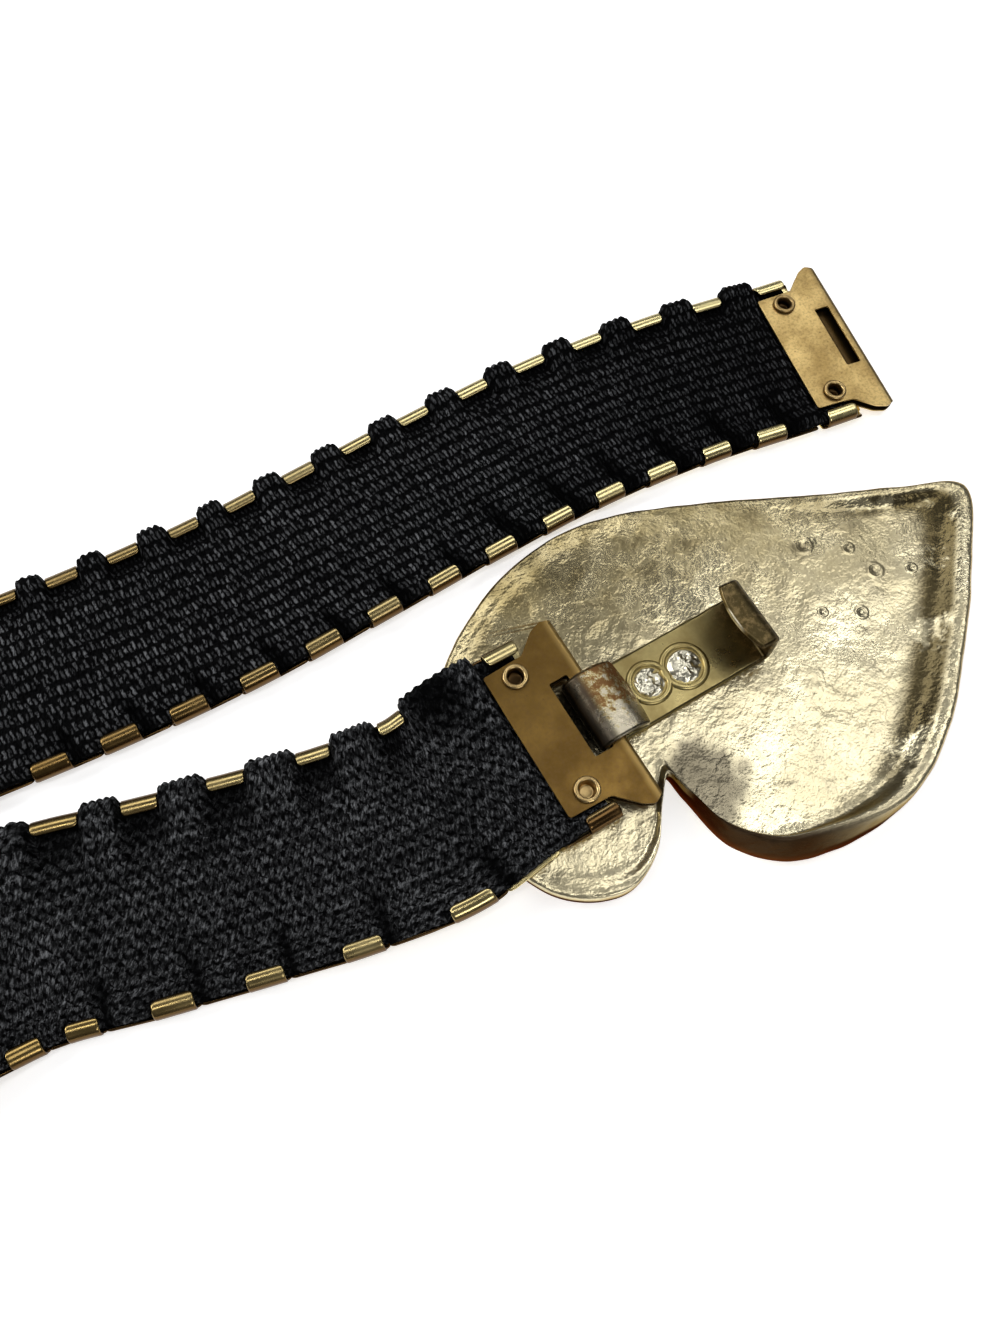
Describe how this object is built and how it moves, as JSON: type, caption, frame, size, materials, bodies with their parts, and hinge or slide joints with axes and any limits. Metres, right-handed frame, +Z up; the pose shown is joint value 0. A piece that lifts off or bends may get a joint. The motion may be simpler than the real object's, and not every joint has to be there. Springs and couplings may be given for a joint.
{
  "type": "stretch mesh belt",
  "caption": "Stretch belt of thin metal scale plates on black elastic, lying back up, with an end plate at each end and a hinged leaf-shaped cast buckle with a hook.",
  "frame": {"origin": "middle of the bounding box in plan, on the surface that the belt lies on", "axes": "+X along the belt's arms towards the buckle's tip, +Z up, the belt's front facing down"},
  "size_m": [0.3509, 0.1284, 0.0403],
  "materials": {
    "black_elastic": "matte woven",
    "plate_brass": "polished, rolled edge",
    "end_brass": "satin",
    "strip_brass": "satin, aged",
    "cast_gold": "cast, slightly pitted"
  },
  "bodies": {
    "strap": {"elastic_band": "black_elastic", "scale_plate_01": "plate_brass", "scale_plate_02": "plate_brass", "scale_plate_03": "plate_brass", "scale_plate_04": "plate_brass", "scale_plate_05": "plate_brass", "scale_plate_06": "plate_brass", "scale_plate_07": "plate_brass", "scale_plate_08": "plate_brass", "scale_plate_09": "plate_brass", "scale_plate_10": "plate_brass", "scale_plate_11": "plate_brass", "scale_plate_12": "plate_brass", "scale_plate_13": "plate_brass", "scale_plate_14": "plate_brass", "scale_plate_15": "plate_brass", "scale_plate_16": "plate_brass", "scale_plate_17": "plate_brass", "scale_plate_18": "plate_brass", "scale_plate_19": "plate_brass", "scale_plate_20": "plate_brass", "scale_plate_21": "plate_brass", "scale_plate_22": "plate_brass", "scale_plate_23": "plate_brass", "scale_plate_24": "plate_brass", "scale_plate_25": "plate_brass", "scale_plate_26": "plate_brass", "scale_plate_27": "plate_brass", "scale_plate_28": "plate_brass", "scale_plate_29": "plate_brass", "scale_plate_30": "plate_brass", "scale_plate_31": "plate_brass", "scale_plate_32": "plate_brass", "scale_plate_33": "plate_brass", "scale_plate_34": "plate_brass", "scale_plate_35": "plate_brass", "scale_plate_36": "plate_brass", "scale_plate_37": "plate_brass", "scale_plate_38": "plate_brass", "scale_plate_39": "plate_brass", "scale_plate_40": "plate_brass", "scale_plate_41": "plate_brass", "scale_plate_42": "plate_brass", "scale_plate_43": "plate_brass", "scale_plate_44": "plate_brass", "end_plate_free": "end_brass", "end_plate_buckle": "end_brass", "eyelet_free_far": "end_brass", "eyelet_free_near": "end_brass", "eyelet_buckle_far": "end_brass", "eyelet_buckle_near": "end_brass"},
    "buckle": {"buckle_casting": "cast_gold", "hook_strip": "strip_brass"}
  },
  "joints": [
    {"name": "buckle_hinge", "type": "hinge", "parent": "strap", "child": "buckle", "pos_m": [0.07279, -0.01971, 0.00955], "axis": [0.0657, -0.9978, 0], "range_deg": [0, 110]}
  ]
}
